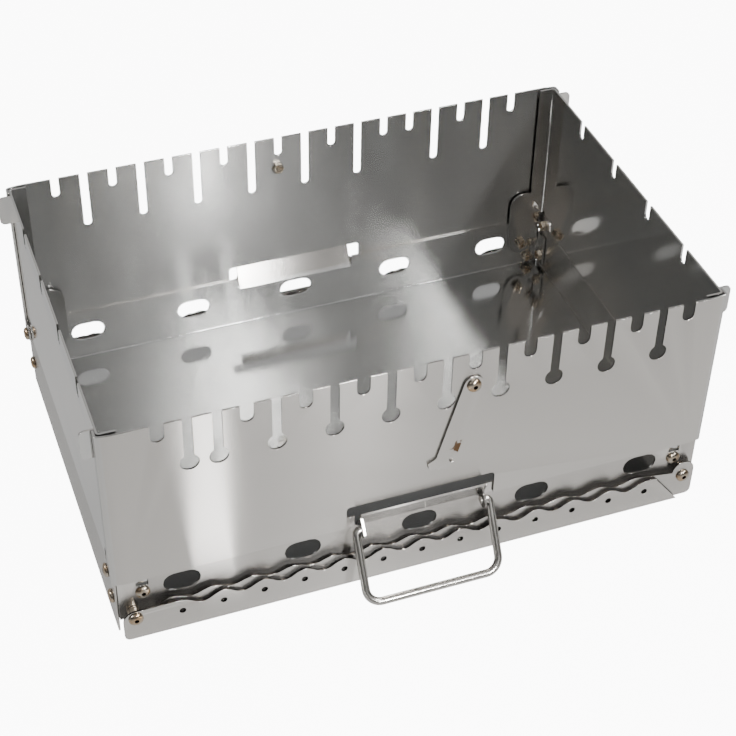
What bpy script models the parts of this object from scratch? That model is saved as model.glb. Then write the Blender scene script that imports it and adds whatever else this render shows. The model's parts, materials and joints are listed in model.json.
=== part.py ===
"""Folding skewer grill: a vented sheet tray with folding notched walls, swing-down wavy leg strips,
wire handles and a hooked latch lever. Metres, +Z up, origin at the bottom centre, front at -Y."""

import math

import bmesh
import bpy
from mathutils import Matrix, Vector

# Overall sizes and sheet stock
LENGTH = 0.450
WIDTH = 0.290
HEIGHT = 0.188
SHEET = 0.0015
GAP = 0.0003
BEND_RADIUS = 0.0010
BEND_STEPS = 3
OVERRUN = 0.006
ROUND_STEPS = 12
SCREW_STEPS = 10

# Sheet layers, counted inwards from the outer faces
LAYER = SHEET + GAP
FLANGE_FACE = WIDTH / 2 - LAYER
SIDE_FACE = FLANGE_FACE - LAYER
END_FACE = LENGTH / 2 - LAYER
FLOOR_END = END_FACE - LAYER
TAB_FACE = FLOOR_END - GAP

# Tray
FLOOR_TOP = 0.0135
FLANGE_TOP = 0.059
FLANGE_RELIEF_BOTTOM = 0.0495
FLANGE_RELIEF_LENGTH = 0.0120
VENT_PITCH = 0.088
VENT_LENGTH = 0.027
VENT_HEIGHT = 0.0165
VENT_CENTRE = 0.0385
BOLT_NOTCH_WIDTH = 0.009
CORNER_TAB_WIDTH = 0.016
CORNER_TAB_TOP = 0.046
CORNER_TAB_BOTTOM = 0.0185

# Handle tab and its ears, on the tray flange
TAB_WIDTH = 0.096
TAB_LENGTH = 0.0192
TAB_LEAN = math.radians(27)
TAB_CORNER = 0.003
TAB_ROOT = 0.0010
EAR_REACH = 0.0125
EAR_RIM = 0.0032

# Wire handles
WIRE_RADIUS = 0.003
HANDLE_WIDTH = 0.102
HANDLE_LEG = 0.055
HANDLE_STANDOFF = 0.0046
HANDLE_PIVOT_HEIGHT = 0.0505
HANDLE_CORNER = 0.011
HANDLE_END_BEND = 0.0035
HANDLE_EAR_SPACE = 0.0012
HANDLE_END_STUB = 0.0016
WIRE_BEND_STEPS = 5

# End plates
END_PLATE_BOTTOM = 0.001
END_PLATE_TOP = 0.057
END_PLATE_EAR_TOP = 0.0635
END_PLATE_EAR_WIDTH = 0.018
END_PLATE_CORNER = 0.004

# Long walls
WALL_BOTTOM = 0.050
WINDOW_WIDTH = 0.112
WINDOW_TOP = 0.0705
WINDOW_CORNER = 0.003
STRIP_WIDTH = 0.0095
STRIP_LEAN = math.radians(7.5)
WRAP_WIDTH = 0.009
WRAP_EAR_WIDTH = 0.018
WRAP_EAR_TOP = 0.066
WRAP_EAR_CORNER = 0.006

# Skewer notches: S is a short one, D is a deep one
FRONT_PATTERN = "SDDSDSDSDSDSDSDSDSDS"
FRONT_START = 0.040
FRONT_PITCH = 0.020
FRONT_MARGIN = 0.028
FRONT_SHORT_WIDTH = 0.0095
FRONT_SHORT_DEPTH = 0.0145
FRONT_DEEP_WIDTH = 0.0065
FRONT_DEEP_DEPTH = 0.0450
KEYHOLE_RADIUS = 0.00675
BACK_PATTERN = "SDSDSDSDSDSDSSDSDS"
BACK_START = 0.037
BACK_PITCH = 0.022
BACK_MARGIN = 0.036
BACK_WIDTH = 0.0062
BACK_SHORT_DEPTH = 0.0165
BACK_DEEP_DEPTH = 0.048
END_NOTCH_PITCH = 0.057
END_NOTCH_COUNT = 4
END_NOTCH_WIDTH = 0.0065
END_NOTCH_DEPTH = 0.0145

# End walls
SIDE_FLANGE_WIDTH = 0.0130
SIDE_FLANGE_BOTTOM = 0.066
CORNER_RELIEF_WIDTH = 0.0205
PIVOT_INSET = 0.0210
PIVOT_HEIGHT = 0.037
EAR_INNER_REACH = 0.012
EAR_OUTER_REACH = 0.0150
EAR_TOP = 0.088
EAR_TOP_RADIUS = 0.0115
EAR_FOOT_RADIUS = 0.0105
LUG_REACH = 0.010
LUG_HEIGHT = 0.024
LUG_DROP = 0.001
LUG_CORNER = 0.004
LUG_SETBACK = 0.0112

# Leg strips
LEG_PIVOT_INSET = 0.013
LEG_PIVOT_HEIGHT = 0.0205
LEG_PEAK = 0.027
LEG_VALLEY = 0.0205
LEG_INNER_PEAK = 0.0300
LEG_INNER_VALLEY = 0.0258
LEG_INNER_OFFSET = -0.0075
LEG_WAVE_PITCH = 0.0298
LEG_WAVE_MARGIN = 0.016
LEG_WAVE_STEPS = 6
LEG_HOLE_RADIUS = 0.0025
LEG_HOLE_HEIGHT = 0.0165
LEG_HOLE_STEPS = 8
LEG_END_RADIUS = 0.009
LEG_PAD_TOP = 0.034
LEG_SLANT_TOP = 0.021
LEG_SLANT_FOOT_INSET = 0.004
LEG_FREE_INSET = 0.018
LEG_INNER_SPACE = 0.0036
LEG_LAYER = 0.0030

# Screws and nuts
SCREW_RADIUS = 0.0025
HEAD_RADIUS = 0.0052
HEAD_HEIGHT = 0.0027
HEAD_RIM_SHARE = 0.25
HEAD_SHOULDER_SHARE = 0.86
HEAD_CROWN_SHARE = 0.62
SOCKET_RADIUS = 0.0016
SOCKET_DEPTH = 0.0013
NUT_RADIUS = 0.0046
NUT_HEIGHT = 0.0034
SHANK_TAIL = 0.0008
SPACER_WALL = 0.0016
HINGE_INSET = 0.012
HINGE_HEIGHT = 0.056
CORNER_SCREW_INSET = 0.0140
CORNER_SCREW_HEIGHT = 0.0270

# Latch
LATCH_OFFSET = -0.001
LATCH_DROP = 0.027
LEVER_NOTCH_INDEX = 11
STUD_NOTCH_INDEX = 8
LEVER_WIDTH = 0.015
LEVER_LENGTH_SHARE = 0.55
LEVER_TILT = math.radians(15.5)
LEVER_NOTCH_RADIUS = 0.0033
LEVER_NOTCH_RISE = 0.010
LEVER_THUMB = 0.005
LEVER_FOOT_RADIUS = 0.0045
STUD_COLLAR = 0.0024

# Places worked out from the sizes above
PIVOT_X = LENGTH / 2 - PIVOT_INSET
LEG_X = LENGTH / 2 - LEG_PIVOT_INSET
HINGE_Y = WIDTH / 2 - HINGE_INSET
CORNER_SCREW_Y = WIDTH / 2 - CORNER_SCREW_INSET
HANDLE_PIVOT_Y = WIDTH / 2 + HANDLE_STANDOFF
HOLE_RADIUS = SCREW_RADIUS + GAP
LATCH_HEIGHT = HEIGHT - LATCH_DROP
LEVER_X = -LENGTH / 2 + FRONT_START + LEVER_NOTCH_INDEX * FRONT_PITCH + LATCH_OFFSET
STUD_X = -LENGTH / 2 + BACK_START + STUD_NOTCH_INDEX * BACK_PITCH + LATCH_OFFSET
LEVER_LENGTH = (HEIGHT - WALL_BOTTOM) * LEVER_LENGTH_SHARE
LUG_TOP = HEIGHT - LUG_DROP
FRONT_COUNT = int((LENGTH - FRONT_START - FRONT_MARGIN) / FRONT_PITCH) + 1
BACK_COUNT = int((LENGTH - BACK_START - BACK_MARGIN) / BACK_PITCH) + 1
VENT_COUNT = int((2 * (PIVOT_X - EAR_INNER_REACH) - VENT_LENGTH) / VENT_PITCH) + 1
LEG_WAVE_COUNT = int(2 * (LEG_X - LEG_PIVOT_INSET - LEG_WAVE_MARGIN) / LEG_WAVE_PITCH) + 1
EAR_X = HANDLE_WIDTH / 2 - WIRE_RADIUS - HANDLE_EAR_SPACE - SHEET / 2
XZ_PLANE = Matrix(((1, 0, 0, 0), (0, 0, -1, 0), (0, 1, 0, 0), (0, 0, 0, 1)))
YZ_PLANE = Matrix(((0, 0, 1, 0), (1, 0, 0, 0), (0, 1, 0, 0), (0, 0, 0, 1)))
HALF_TURN = Matrix.Rotation(math.pi, 4, "Z")
QUARTER = math.pi / 2


def clear_scene():
    for thing in list(bpy.data.objects):
        bpy.data.objects.remove(thing, do_unlink=True)


def make_collection(name):
    collection = bpy.data.collections.new(name)
    bpy.context.scene.collection.children.link(collection)
    return collection


def make_material(name, colour, roughness):
    material = bpy.data.materials.new(name)
    material.use_nodes = True
    shader = material.node_tree.nodes["Principled BSDF"]
    shader.inputs["Base Color"].default_value = (*colour, 1)
    shader.inputs["Metallic"].default_value = 1
    shader.inputs["Roughness"].default_value = roughness
    return material


clear_scene()
PARTS = make_collection("folding_skewer_grill")
CUTTERS = make_collection("cutters")


def arc(centre, radius, start, end, steps=ROUND_STEPS // 2):
    """Points on an arc from the start angle to the end angle."""
    points = []
    for step in range(steps + 1):
        angle = start + (end - start) * step / steps
        points.append((centre[0] + radius * math.cos(angle), centre[1] + radius * math.sin(angle)))
    return points


def circle(centre, radius, steps=ROUND_STEPS):
    return arc(centre, radius, 0, 2 * math.pi, steps)[:-1]


def rounded_box(low, high, radius, steps=3):
    """A rectangle outline with round corners, from its low and high corners."""
    corners = [
        ((high[0] - radius, high[1] - radius), 0),
        ((low[0] + radius, high[1] - radius), QUARTER),
        ((low[0] + radius, low[1] + radius), 2 * QUARTER),
        ((high[0] - radius, low[1] + radius), 3 * QUARTER),
    ]
    points = []
    for centre, start in corners:
        points += arc(centre, radius, start, start + QUARTER, steps)
    return points


def box_outline(low, high):
    return [low, (high[0], low[1]), high, (low[0], high[1])]


def link(thing, collection, cutter=False):
    collection.objects.link(thing)
    if cutter:
        thing.hide_render = True
        thing.display_type = "WIRE"
    return thing


def plate(name, loops, thickness, matrix, cutter=False):
    """A flat plate from closed outlines; the loops inside the first are holes."""
    curve = bpy.data.curves.new(name, "CURVE")
    curve.dimensions = "2D"
    curve.fill_mode = "BOTH"
    curve.extrude = thickness / 2
    for loop in loops:
        spline = curve.splines.new("POLY")
        spline.points.add(len(loop) - 1)
        for point, place in zip(spline.points, loop):
            point.co = (place[0], place[1], 0, 1)
        spline.use_cyclic_u = True
    drawn = bpy.data.objects.new(name + "_outline", curve)
    PARTS.objects.link(drawn)
    mesh = mesh_from(drawn)
    return link(named_object(name, mesh, matrix), CUTTERS if cutter else PARTS, cutter)


def mesh_from(drawn):
    """The welded mesh of a curve object, which is then removed."""
    graph = bpy.context.evaluated_depsgraph_get()
    mesh = bpy.data.meshes.new_from_object(drawn.evaluated_get(graph))
    bpy.data.objects.remove(drawn, do_unlink=True)
    work = bmesh.new()
    work.from_mesh(mesh)
    bmesh.ops.remove_doubles(work, verts=work.verts, dist=GAP / 10)
    bmesh.ops.recalc_face_normals(work, faces=work.faces)
    work.to_mesh(mesh)
    work.free()
    return mesh


def named_object(name, mesh, matrix):
    thing = bpy.data.objects.new(name, mesh)
    thing.matrix_world = matrix
    return thing


def folded_sheet(name, path, start, end, axis):
    """A bent sheet: the outer faces' path swept from start to end along X or Z, thickened inwards."""
    mesh = bpy.data.meshes.new(name)
    work = bmesh.new()
    rows = []
    for level in (start, end):
        row = []
        for first, second in path:
            place = (level, first, second) if axis == "X" else (first, second, level)
            row.append(work.verts.new(place))
        rows.append(row)
    for low, high, low_next, high_next in zip(rows[0], rows[1], rows[0][1:], rows[1][1:]):
        work.faces.new((low, low_next, high_next, high))
    work.to_mesh(mesh)
    work.free()
    sheet = link(named_object(name, mesh, Matrix()), PARTS)
    solidify = sheet.modifiers.new("sheet", "SOLIDIFY")
    solidify.thickness = SHEET
    solidify.offset = -1
    solidify.use_even_offset = True
    return sheet


def bent_path(corners):
    """Corner points of a path with each inner corner rounded at the sheet's outer bend radius."""
    radius = BEND_RADIUS + SHEET
    points = [corners[0]]
    for before, corner, after in zip(corners, corners[1:], corners[2:]):
        towards = (Vector(before) - Vector(corner)).normalized()
        onwards = (Vector(after) - Vector(corner)).normalized()
        turn = towards.angle(onwards)
        setback = radius / math.tan(turn / 2)
        first = Vector(corner) + towards * setback
        last = Vector(corner) + onwards * setback
        centre = Vector(corner) + (towards + onwards).normalized() * radius / math.sin(turn / 2)
        sweep = (first - centre).angle_signed(last - centre)
        for step in range(BEND_STEPS + 1):
            spoke = first - centre
            spoke.rotate(Matrix.Rotation(-sweep * step / BEND_STEPS, 2))
            points.append(tuple(centre + spoke))
    points.append(corners[-1])
    return points


def combine(target, other, operation):
    boolean = target.modifiers.new(other.name, "BOOLEAN")
    boolean.operation = operation
    boolean.object = other
    boolean.solver = "EXACT"


def finish(thing, material, smooth=False):
    thing.data.materials.clear()
    thing.data.materials.append(material.copy())
    thing.data.materials[0].name = thing.name
    if smooth:
        thing.data.shade_smooth()
        thing.data.set_sharp_from_angle(angle=math.radians(35))
    return thing


def turned(name, profile, matrix, material):
    """A turned piece about local Z, from its profile at +X listed from top to bottom."""
    mesh = bpy.data.meshes.new(name)
    mesh.from_pydata([(radius, 0, level) for radius, level in profile],
                     [(index, index + 1) for index in range(len(profile) - 1)], [])
    thing = link(named_object(name, mesh, matrix), PARTS)
    screw = thing.modifiers.new("turn", "SCREW")
    screw.steps = SCREW_STEPS
    screw.render_steps = SCREW_STEPS
    screw.use_merge_vertices = True
    screw.merge_threshold = GAP / 10
    return finish(thing, material, smooth=True)


def screw(name, place, outward, grip, material, collar=0):
    """A button-head screw: place is on the face under the head, outward points out of the head."""
    rim = HEAD_HEIGHT * HEAD_RIM_SHARE
    top = collar + GAP
    profile = [(0, top + HEAD_HEIGHT - SOCKET_DEPTH), (SOCKET_RADIUS, top + HEAD_HEIGHT - SOCKET_DEPTH),
               (SOCKET_RADIUS, top + HEAD_HEIGHT),
               (HEAD_RADIUS * HEAD_CROWN_SHARE, top + HEAD_HEIGHT * HEAD_SHOULDER_SHARE),
               (HEAD_RADIUS, top + rim), (HEAD_RADIUS, top)]
    if collar:
        profile += [(SCREW_RADIUS + SPACER_WALL, top), (SCREW_RADIUS + SPACER_WALL, GAP)]
    profile += [(SCREW_RADIUS, GAP if collar else top), (SCREW_RADIUS, -grip), (0, -grip)]
    return turned(name, profile, facing(place, outward), material)


def nut(name, place, outward, material):
    """A hexagon nut whose seat is a clearance off the face at place, growing along outward."""
    hexagon = circle((0, 0), NUT_RADIUS, 6)
    seated = facing(place, outward) @ Matrix.Translation((0, 0, GAP + NUT_HEIGHT / 2))
    loops = [hexagon, circle((0, 0), HOLE_RADIUS)]
    return finish(plate(name, loops, NUT_HEIGHT, seated), material)


def facing(place, outward):
    """A frame at place whose local Z points along outward."""
    turn = Vector((0, 0, 1)).rotation_difference(Vector(outward))
    return Matrix.Translation(place) @ turn.to_matrix().to_4x4()


SATIN = make_material("satin_sheet", (0.56, 0.55, 0.52), 0.36)
BRIGHT = make_material("bright_sheet", (0.46, 0.46, 0.45), 0.16)
WIRE = make_material("drawn_wire", (0.62, 0.61, 0.58), 0.24)
TINTED = make_material("tinted_fastener", (0.52, 0.43, 0.31), 0.28)


def at_y(place):
    return Matrix.Translation((0, place, 0)) @ XZ_PLANE


def at_x(place):
    return Matrix.Translation((place, 0, 0)) @ YZ_PLANE


def vent_slots():
    loops = []
    for index in range(VENT_COUNT):
        centre = (index - (VENT_COUNT - 1) / 2) * VENT_PITCH
        low = (centre - VENT_LENGTH / 2, VENT_CENTRE - VENT_HEIGHT / 2)
        high = (centre + VENT_LENGTH / 2, VENT_CENTRE + VENT_HEIGHT / 2)
        loops.append(rounded_box(low, high, VENT_HEIGHT / 2 - GAP))
    return loops


def flange_cuts():
    """Everything cut through both long tray flanges, seen from the front."""
    loops = vent_slots()
    for side in (-1, 1):
        bolt = side * PIVOT_X
        notch_bottom = PIVOT_HEIGHT + HEAD_RADIUS + GAP
        half = BOLT_NOTCH_WIDTH / 2
        loops.append(box_outline((bolt - half, notch_bottom), (bolt + half, FLANGE_TOP + OVERRUN)))
        low = min(side * (FLOOR_END - FLANGE_RELIEF_LENGTH), side * (FLOOR_END + OVERRUN))
        high = max(side * (FLOOR_END - FLANGE_RELIEF_LENGTH), side * (FLOOR_END + OVERRUN))
        loops.append(box_outline((low, FLANGE_RELIEF_BOTTOM), (high, FLANGE_TOP + OVERRUN)))
        loops.append(circle((bolt, PIVOT_HEIGHT), HOLE_RADIUS))
        loops.append(circle((side * LEG_X, LEG_PIVOT_HEIGHT), HOLE_RADIUS))
    window = TAB_WIDTH / 2 + SHEET
    loops.append(box_outline((-window, FLANGE_RELIEF_BOTTOM), (window, FLANGE_TOP + OVERRUN)))
    return loops


def handle_tab(name, turn):
    """The leaning tab that grows out of the flange under the wall's window."""
    low = (-TAB_WIDTH / 2, -TAB_ROOT)
    high = (TAB_WIDTH / 2, TAB_LENGTH)
    lean = Matrix.Rotation(TAB_LEAN, 4, "X")
    root = Matrix.Translation((0, -(FLANGE_FACE - SHEET / 2), FLANGE_RELIEF_BOTTOM))
    return plate(name, [rounded_box(low, high, TAB_CORNER / 3)], SHEET, turn @ root @ lean @ XZ_PLANE, True)


def handle_ear(name, side, turn):
    """A small ear under the tab, with the hole that the handle's wire turns in."""
    centre = (-HANDLE_PIVOT_Y, HANDLE_PIVOT_HEIGHT)
    rim = WIRE_RADIUS + GAP + EAR_RIM
    root = (-(FLANGE_FACE - SHEET / 2), FLANGE_RELIEF_BOTTOM)
    reach = (root[0] - math.sin(TAB_LEAN) * EAR_REACH, root[1] + math.cos(TAB_LEAN) * EAR_REACH)
    outline = [root, reach] + arc(centre, rim, math.pi, 2 * math.pi)
    loops = [outline, circle(centre, WIRE_RADIUS + GAP)]
    return plate(name, loops, SHEET, turn @ at_x(side * EAR_X), True)


def corner_tab(name, side, turn):
    """A tab folded in from the flange's end, which the end plate is screwed to."""
    low = (-FLANGE_FACE + SHEET / 2, CORNER_TAB_BOTTOM)
    high = (-FLANGE_FACE + CORNER_TAB_WIDTH, CORNER_TAB_TOP)
    hole = circle((-CORNER_SCREW_Y, CORNER_SCREW_HEIGHT), HOLE_RADIUS)
    place = at_x(side * (TAB_FACE - SHEET / 2))
    return plate(name, [box_outline(low, high), hole], SHEET, turn @ place, True)


def make_tray():
    bottom = FLOOR_TOP - SHEET
    path = bent_path([(-FLANGE_FACE, FLANGE_TOP), (-FLANGE_FACE, bottom),
                      (FLANGE_FACE, bottom), (FLANGE_FACE, FLANGE_TOP)])
    tray = folded_sheet("tray", path, -FLOOR_END, FLOOR_END, "X")
    cuts = plate("tray_cuts", flange_cuts(), WIDTH + 2 * OVERRUN, at_y(0), True)
    combine(tray, cuts, "DIFFERENCE")
    for label, turn in (("front", Matrix()), ("back", HALF_TURN)):
        combine(tray, handle_tab("tab_" + label, turn), "UNION")
        for side, hand in ((-1, "left"), (1, "right")):
            combine(tray, handle_ear("ear_" + label + "_" + hand, side, turn), "UNION")
            combine(tray, corner_tab("corner_" + label + "_" + hand, side, turn), "UNION")
    return finish(tray, BRIGHT)


def make_end_plate(name, side):
    """A low plate with raised corners that carry the long wall hinges."""
    inner = SIDE_FACE - END_PLATE_EAR_WIDTH
    radius = END_PLATE_CORNER
    outline = [(-SIDE_FACE, END_PLATE_BOTTOM), (SIDE_FACE, END_PLATE_BOTTOM)]
    outline += arc((SIDE_FACE - radius, END_PLATE_EAR_TOP - radius), radius, 0, QUARTER, 4)
    outline += arc((inner + radius, END_PLATE_EAR_TOP - radius), radius, QUARTER, 2 * QUARTER, 4)
    outline += [(inner, END_PLATE_TOP), (-inner, END_PLATE_TOP)]
    outline += arc((-inner - radius, END_PLATE_EAR_TOP - radius), radius, 0, QUARTER, 4)
    outline += arc((-SIDE_FACE + radius, END_PLATE_EAR_TOP - radius), radius, QUARTER, 2 * QUARTER, 4)
    holes = []
    for edge in (-1, 1):
        holes.append(circle((edge * HINGE_Y, HINGE_HEIGHT), HOLE_RADIUS))
        holes.append(circle((edge * CORNER_SCREW_Y, CORNER_SCREW_HEIGHT), HOLE_RADIUS))
    return finish(plate(name, [outline] + holes, SHEET, at_x(side * (END_FACE - SHEET / 2))), SATIN)


def notch(centre, width, depth):
    """A round-bottomed notch from above the top edge, as an outline."""
    half = width / 2
    bottom = HEIGHT - depth + half
    return arc((centre, bottom), half, math.pi, 2 * math.pi) + [(centre + half, HEIGHT + OVERRUN),
                                                               (centre - half, HEIGHT + OVERRUN)]


def keyhole(centre, width, depth):
    """A slot from above the top edge that ends in a wider round hole, as an outline."""
    half = width / 2
    middle = HEIGHT - depth + KEYHOLE_RADIUS
    mouth = math.asin(half / KEYHOLE_RADIUS)
    ring = arc((centre, middle), KEYHOLE_RADIUS, QUARTER + mouth, QUARTER - mouth + 2 * math.pi, ROUND_STEPS)
    return ring + [(centre + half, HEIGHT + OVERRUN), (centre - half, HEIGHT + OVERRUN)]


def front_notches():
    loops = []
    for index in range(FRONT_COUNT):
        kind = FRONT_PATTERN[index % len(FRONT_PATTERN)]
        centre = -LENGTH / 2 + FRONT_START + index * FRONT_PITCH
        if kind == "D":
            loops.append(keyhole(centre, FRONT_DEEP_WIDTH, FRONT_DEEP_DEPTH))
        else:
            loops.append(notch(centre, FRONT_SHORT_WIDTH, FRONT_SHORT_DEPTH))
    loops.append(circle((LEVER_X, LATCH_HEIGHT), HOLE_RADIUS))
    return loops


def back_notches():
    loops = []
    for index in range(BACK_COUNT):
        kind = BACK_PATTERN[index % len(BACK_PATTERN)]
        centre = -LENGTH / 2 + BACK_START + index * BACK_PITCH
        depth = BACK_DEEP_DEPTH if kind == "D" else BACK_SHORT_DEPTH
        loops.append(notch(centre, BACK_WIDTH, depth))
    loops.append(circle((STUD_X, LATCH_HEIGHT), HOLE_RADIUS))
    return loops


def wrap_cut(name, turn):
    """Trims both wrap-around flanges to a narrow strip with a hinge ear at the foot."""
    narrow = -WIDTH / 2 + WRAP_WIDTH
    wide = -WIDTH / 2 + WRAP_EAR_WIDTH + OVERRUN
    outline = [(narrow, HEIGHT + OVERRUN), (narrow, WRAP_EAR_TOP)]
    outline += arc((-WIDTH / 2 + WRAP_EAR_WIDTH - WRAP_EAR_CORNER, WRAP_EAR_TOP - WRAP_EAR_CORNER),
                   WRAP_EAR_CORNER, QUARTER, 0, 4)
    outline += arc((-WIDTH / 2 + WRAP_EAR_WIDTH - WRAP_EAR_CORNER, WALL_BOTTOM + WRAP_EAR_CORNER),
                   WRAP_EAR_CORNER, 0, -QUARTER, 4)
    outline += [(-WIDTH / 2 + WRAP_EAR_WIDTH - WRAP_EAR_CORNER, WALL_BOTTOM - OVERRUN),
                (wide, WALL_BOTTOM - OVERRUN), (wide, HEIGHT + OVERRUN)]
    hole = circle((-HINGE_Y, HINGE_HEIGHT), HOLE_RADIUS)
    return plate(name, [outline, hole], LENGTH + 2 * OVERRUN, turn @ at_x(0), True)


def make_long_wall(name, turn, notches):
    inset = STRIP_WIDTH * math.tan(STRIP_LEAN)
    face = -WIDTH / 2
    edge = LENGTH / 2
    corners = [(-edge, face + WRAP_EAR_WIDTH), (-edge, face + inset), (-edge + STRIP_WIDTH, face),
               (edge - STRIP_WIDTH, face), (edge, face + inset), (edge, face + WRAP_EAR_WIDTH)]
    left = bent_path(corners[:3])
    right = bent_path(corners[3:])
    wall = folded_sheet(name, left + right, WALL_BOTTOM, HEIGHT, "Z")
    wall.matrix_world = turn
    half = WINDOW_WIDTH / 2
    window = rounded_box((-half, WALL_BOTTOM - OVERRUN), (half, WINDOW_TOP), WINDOW_CORNER)
    cuts = plate(name + "_cuts", notches + [window], 2 * OVERRUN, at_y(turn[1][1] * face), True)
    combine(wall, cuts, "DIFFERENCE")
    combine(wall, wrap_cut(name + "_wrap_cut", turn), "DIFFERENCE")
    return finish(wall, SATIN)


def make_end_wall(name, turn):
    """The end wall at +X, turned for the other end; its ears turn on the pivot screws."""
    inner = PIVOT_X - EAR_INNER_REACH
    foot = PIVOT_HEIGHT - EAR_FOOT_RADIUS
    path = bent_path([(inner, -SIDE_FACE), (END_FACE, -SIDE_FACE), (END_FACE, SIDE_FACE), (inner, SIDE_FACE)])
    wall = folded_sheet(name, path, foot, HEIGHT, "Z")
    wall.matrix_world = turn
    loops = []
    for index in range(END_NOTCH_COUNT):
        centre = (index - (END_NOTCH_COUNT - 1) / 2) * END_NOTCH_PITCH
        loops.append(notch(centre, END_NOTCH_WIDTH, END_NOTCH_DEPTH))
    middle = SIDE_FACE - CORNER_RELIEF_WIDTH + GAP
    loops.append(box_outline((-middle, foot - OVERRUN), (middle, END_PLATE_TOP + GAP)))
    depth = 2 * (END_FACE - PIVOT_X - EAR_OUTER_REACH)
    combine(wall, plate(name + "_cuts", loops, depth, turn @ at_x(END_FACE), True), "DIFFERENCE")
    for edge, label in ((-1, "front"), (1, "back")):
        combine(wall, side_cut(name + "_side_" + label, edge, turn), "DIFFERENCE")
        combine(wall, lug(name + "_lug_" + label, edge, turn), "UNION")
    return finish(wall, BRIGHT)


def side_cut(name, edge, turn):
    """Trims a side flange to a narrow strip above, a round-topped pivot ear below."""
    inner = PIVOT_X - EAR_INNER_REACH
    outer = PIVOT_X + EAR_OUTER_REACH
    strip = END_FACE - SIDE_FLANGE_WIDTH
    foot = PIVOT_HEIGHT - EAR_FOOT_RADIUS
    radius = EAR_TOP_RADIUS
    past = END_FACE + OVERRUN
    upper = [(inner - OVERRUN, PIVOT_HEIGHT), (inner, PIVOT_HEIGHT)]
    upper += arc((inner + radius, EAR_TOP - radius), radius, 2 * QUARTER, QUARTER, 6)
    upper += [(strip, EAR_TOP), (strip, HEIGHT + OVERRUN), (inner - OVERRUN, HEIGHT + OVERRUN)]
    lower = [(inner - OVERRUN, foot - OVERRUN), (past, foot - OVERRUN), (past, SIDE_FLANGE_BOTTOM),
             (outer, SIDE_FLANGE_BOTTOM), (outer, PIVOT_HEIGHT)]
    lower += arc((PIVOT_X, PIVOT_HEIGHT), EAR_FOOT_RADIUS, 2 * math.pi, math.pi, 8)
    lower += [(inner, PIVOT_HEIGHT - GAP), (inner - OVERRUN, PIVOT_HEIGHT - GAP)]
    hole = circle((PIVOT_X, PIVOT_HEIGHT), HOLE_RADIUS)
    width = CORNER_RELIEF_WIDTH + OVERRUN
    place = Matrix.Translation((0, edge * (SIDE_FACE + OVERRUN - width / 2), 0)) @ XZ_PLANE
    return plate(name, [upper, lower, hole], width, turn @ place, True)


def lug(name, edge, turn):
    """A finger lug standing out of the end wall beside the long wall's wrap-around flange."""
    start = END_FACE - SHEET / 2
    outline = [(start, LUG_TOP - LUG_HEIGHT)]
    corner = END_FACE + LUG_REACH - LUG_CORNER
    outline += arc((corner, LUG_TOP - LUG_HEIGHT + LUG_CORNER), LUG_CORNER, -QUARTER, 0, 4)
    outline += arc((corner, LUG_TOP - LUG_CORNER), LUG_CORNER, 0, QUARTER, 4)
    outline += [(start, LUG_TOP)]
    place = Matrix.Translation((0, edge * (WIDTH / 2 - LUG_SETBACK), 0)) @ XZ_PLANE
    return plate(name, [outline], SHEET, turn @ place, True)


def wave_edge(first_peak, peak, valley):
    """The wavy top edge, from its last peak back to its first."""
    middle = (peak + valley) / 2
    swing = (peak - valley) / 2
    points = []
    for step in range((LEG_WAVE_COUNT - 1) * LEG_WAVE_STEPS, -1, -1):
        phase = step / LEG_WAVE_STEPS
        points.append((first_peak + phase * LEG_WAVE_PITCH, middle + swing * math.cos(2 * math.pi * phase)))
    return points


def leg_holes(first_peak):
    loops = []
    for index in range(LEG_WAVE_COUNT):
        centre = (first_peak + index * LEG_WAVE_PITCH, LEG_HOLE_HEIGHT)
        loops.append(circle(centre, LEG_HOLE_RADIUS, LEG_HOLE_STEPS))
    return loops


def make_outer_leg(name, turn):
    """The outer strip of a pair: it pivots at its left end and is cut off slanting at its right."""
    first = -(LEG_WAVE_COUNT - 1) / 2 * LEG_WAVE_PITCH
    slant_foot = LEG_X - LEG_SLANT_FOOT_INSET
    radius = LEG_END_RADIUS
    left = -LEG_X - radius
    outline = [(slant_foot, 0), (slant_foot - LEG_SLANT_TOP, LEG_PEAK)]
    outline += wave_edge(first, LEG_PEAK, LEG_VALLEY)
    outline += arc((left + radius, LEG_PEAK - radius), radius, QUARTER, 2 * QUARTER, 5)
    outline += arc((left + radius / 2, radius / 2), radius / 2, math.pi, math.pi + QUARTER, 4)
    holes = leg_holes(first) + [circle((-LEG_X, LEG_PIVOT_HEIGHT), HOLE_RADIUS)]
    depth = WIDTH / 2 - LAYER + LEG_INNER_SPACE + LEG_LAYER + SHEET / 2
    leg = plate(name, [outline] + holes, SHEET, Matrix.Translation((0, -depth, 0)) @ XZ_PLANE)
    return place_leg(leg, -LEG_X, turn)


def make_inner_leg(name, turn):
    """The inner strip of a pair: it pivots at its right end, in a raised round pad."""
    first = -(LEG_WAVE_COUNT - 1) / 2 * LEG_WAVE_PITCH
    radius = LEG_END_RADIUS
    right = LEG_X + radius
    left = -LEG_X + LEG_FREE_INSET
    outline = [(left, 0)]
    outline += arc((right - radius / 2, radius / 2), radius / 2, -QUARTER, 0, 4)
    outline += arc((right - radius, LEG_PAD_TOP - radius), radius, 0, 2 * QUARTER, 8)
    outline += wave_edge(first + LEG_INNER_OFFSET, LEG_INNER_PEAK, LEG_INNER_VALLEY)
    outline += [(left, LEG_INNER_VALLEY)]
    holes = leg_holes(first) + [circle((LEG_X, LEG_PIVOT_HEIGHT), HOLE_RADIUS)]
    depth = WIDTH / 2 - LAYER + LEG_INNER_SPACE + SHEET / 2
    leg = plate(name, [outline] + holes, SHEET, Matrix.Translation((0, -depth, 0)) @ XZ_PLANE)
    return place_leg(leg, LEG_X, turn)


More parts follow.
